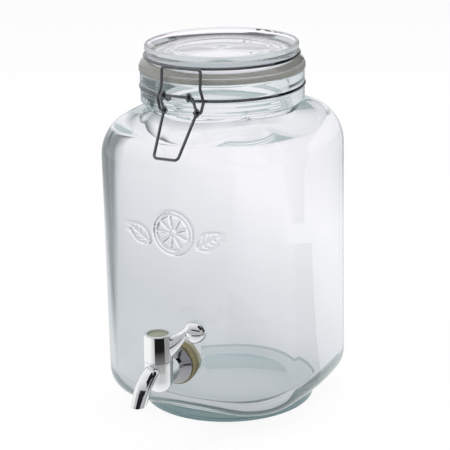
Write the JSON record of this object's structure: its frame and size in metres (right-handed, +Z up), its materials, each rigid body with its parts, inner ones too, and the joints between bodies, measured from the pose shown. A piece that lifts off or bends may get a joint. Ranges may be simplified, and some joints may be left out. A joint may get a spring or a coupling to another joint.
{
  "type": "drink dispenser",
  "caption": "Rounded-square glass jar for cold drinks, with a clip lid on wire bands, a rubber seal and a quarter-turn lever tap near the foot.",
  "frame": {"origin": "on the jar's vertical axis, at the floor under the foot ring", "axes": "+Z up along the jar's axis, -Y towards the side with the clasp and the tap, +X to the right of that front"},
  "size_m": [0.151, 0.2095, 0.2569],
  "materials": {
    "jar_glass": "clear pressed glass, slightly wavy inside",
    "lid_glass": "clear pressed glass",
    "gasket_rubber": "matte grey-olive silicone",
    "wire_steel": "drawn stainless wire, bright",
    "washer_rubber": "matte olive-cream silicone",
    "nut_plastic": "pale moulded plastic",
    "tap_chrome": "polished plating",
    "valve_brass": "machined",
    "seal_rubber": "black seal ring",
    "screw_steel": "zinc-plated",
    "cap_plastic": "yellow-green glossy plastic"
  },
  "bodies": {
    "dispenser": {"jar_base": "jar_glass", "jar_wall": "jar_glass", "jar_neck": "jar_glass", "lid_gasket": "gasket_rubber", "neck_band": "wire_steel", "outer_washer": "washer_rubber", "inner_washer": "washer_rubber", "lock_nut": "nut_plastic", "tap_flange": "tap_chrome", "tap_body": "tap_chrome", "gland_ring": "valve_brass"},
    "lid_assembly": {"lid": "lid_glass", "lid_band": "wire_steel"},
    "lever": {"clasp_lever": "wire_steel"},
    "yoke": {"clasp_yoke": "wire_steel"},
    "handle": {"tap_handle": "tap_chrome", "handle_knob": "tap_chrome", "handle_screw": "screw_steel", "hub_cap": "cap_plastic", "valve_plug": "valve_brass", "upper_seal": "seal_rubber", "lower_seal": "seal_rubber"}
  },
  "joints": [
    {"name": "lid_hinge", "type": "hinge", "parent": "dispenser", "child": "lid_assembly", "pos_m": [0, 0.064, 0.24], "axis": [-1, 0, 0], "range_deg": [0, 110]},
    {"name": "clasp_lever_pivot", "type": "hinge", "parent": "dispenser", "child": "lever", "pos_m": [0, -0.0657, 0.2325], "axis": [-1, 0, 0], "range_deg": [0, 110]},
    {"name": "clasp_yoke_pivot", "type": "hinge", "parent": "lever", "child": "yoke", "pos_m": [0, -0.0605, 0.221], "axis": [-1, 0, 0], "range_deg": [-132, 0]},
    {"name": "tap_handle_turn", "type": "hinge", "parent": "dispenser", "child": "handle", "pos_m": [0, -0.1, 0.0685], "axis": [0, 0, -1], "range_deg": [0, 90]}
  ],
  "couplings": [
    {"joint": "clasp_yoke_pivot", "follows": "clasp_lever_pivot", "ratio": -1.2}
  ]
}
